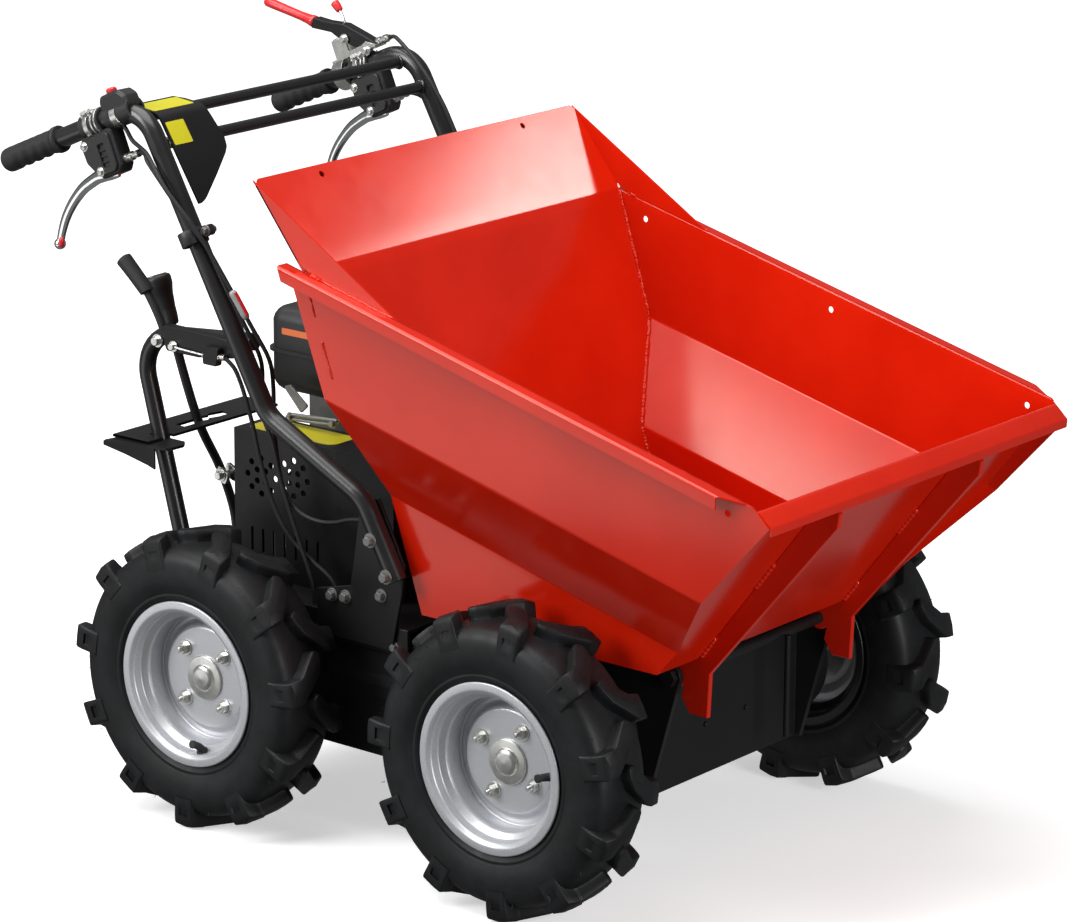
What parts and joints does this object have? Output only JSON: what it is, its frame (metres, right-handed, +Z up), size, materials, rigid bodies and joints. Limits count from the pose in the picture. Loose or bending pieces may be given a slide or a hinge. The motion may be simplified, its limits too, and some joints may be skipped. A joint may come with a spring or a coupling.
{
  "type": "walk-behind mini dumper",
  "caption": "Walk-behind petrol mini dumper on lugged wheels, with a forward-tipping folded steel hopper, handlebars and an engine behind the hopper.",
  "frame": {"origin": "on the ground at the middle of the whole machine", "axes": "+X forward to the tipping lip, +Y to the machine's left, +Z up"},
  "size_m": [1.3694, 0.772, 1.0148],
  "materials": {
    "red_paint": "gloss powder coat on folded sheet steel",
    "black_paint": "satin powder coat",
    "tyre_rubber": "matt moulded rubber",
    "silver_paint": "satin silver paint",
    "zinc": "bright zinc plate",
    "chrome": "polished chrome",
    "black_rubber": "matt rubber",
    "black_plastic": "fine-grained moulded plastic",
    "red_sleeve": "dipped vinyl sleeve",
    "engine_metal": "cast and pressed metal"
  },
  "bodies": {
    "chassis": {"chassis_frame": "black_paint", "engine_deck": "black_paint", "chain_case_right": "black_paint", "chain_case_left": "black_paint", "gearbox": "engine_metal", "hopper_rest": "black_paint", "pivot_shaft": "zinc", "handle_bracket_right": "black_paint", "handle_bracket_left": "black_paint", "handle_tube_right": "black_paint", "handle_tube_left": "black_paint", "cross_bars": "black_paint", "grip_right": "black_rubber", "grip_left": "black_rubber", "control_panel": "black_paint", "engine_switch": "black_plastic", "steering_housing_right": "black_plastic", "steering_housing_left": "black_plastic", "steering_lever_right": "chrome", "steering_lever_left": "chrome", "clutch_bracket": "zinc", "clutch_arm": "black_paint", "clutch_lever": "red_sleeve", "lock_lever": "red_sleeve", "guard_tube": "black_paint", "lever_plate": "black_paint", "tip_lever": "black_rubber", "gate_plate": "black_paint", "gear_lever": "black_rubber", "control_cables": "black_rubber", "engine_block": "engine_metal", "recoil_starter": "black_plastic", "fuel_tank": "black_plastic", "air_cleaner": "black_plastic", "muffler": "engine_metal", "belt_cover": "black_paint"},
    "hopper": {"side_wall_right": "red_paint", "side_wall_left": "red_paint", "rear_wall": "red_paint", "front_wall": "red_paint", "hopper_floor": "red_paint", "splash_guard": "red_paint", "hinge_leg_right": "red_paint", "hinge_leg_left": "red_paint"},
    "wheel_front_right": {"tyre_front_right": "tyre_rubber", "rim_front_right": "silver_paint", "hub_front_right": "zinc"},
    "wheel_front_left": {"tyre_front_left": "tyre_rubber", "rim_front_left": "silver_paint", "hub_front_left": "zinc"},
    "wheel_rear_right": {"tyre_rear_right": "tyre_rubber", "rim_rear_right": "silver_paint", "hub_rear_right": "zinc"},
    "wheel_rear_left": {"tyre_rear_left": "tyre_rubber", "rim_rear_left": "silver_paint", "hub_rear_left": "zinc"}
  },
  "joints": [
    {"name": "hopper_tip", "type": "hinge", "parent": "chassis", "child": "hopper", "pos_m": [0.4187, 0, 0.305], "axis": [0, 1, 0], "range_deg": [0, 70]},
    {"name": "wheel_spin_front_right", "type": "hinge", "parent": "chassis", "child": "wheel_front_right", "pos_m": [0.2857, -0.334, 0.205], "axis": [0, 1, 0], "continuous": true},
    {"name": "wheel_spin_front_left", "type": "hinge", "parent": "chassis", "child": "wheel_front_left", "pos_m": [0.2857, 0.334, 0.205], "axis": [0, 1, 0], "continuous": true},
    {"name": "wheel_spin_rear_right", "type": "hinge", "parent": "chassis", "child": "wheel_rear_right", "pos_m": [-0.2443, -0.334, 0.205], "axis": [0, 1, 0], "continuous": true},
    {"name": "wheel_spin_rear_left", "type": "hinge", "parent": "chassis", "child": "wheel_rear_left", "pos_m": [-0.2443, 0.334, 0.205], "axis": [0, 1, 0], "continuous": true}
  ]
}
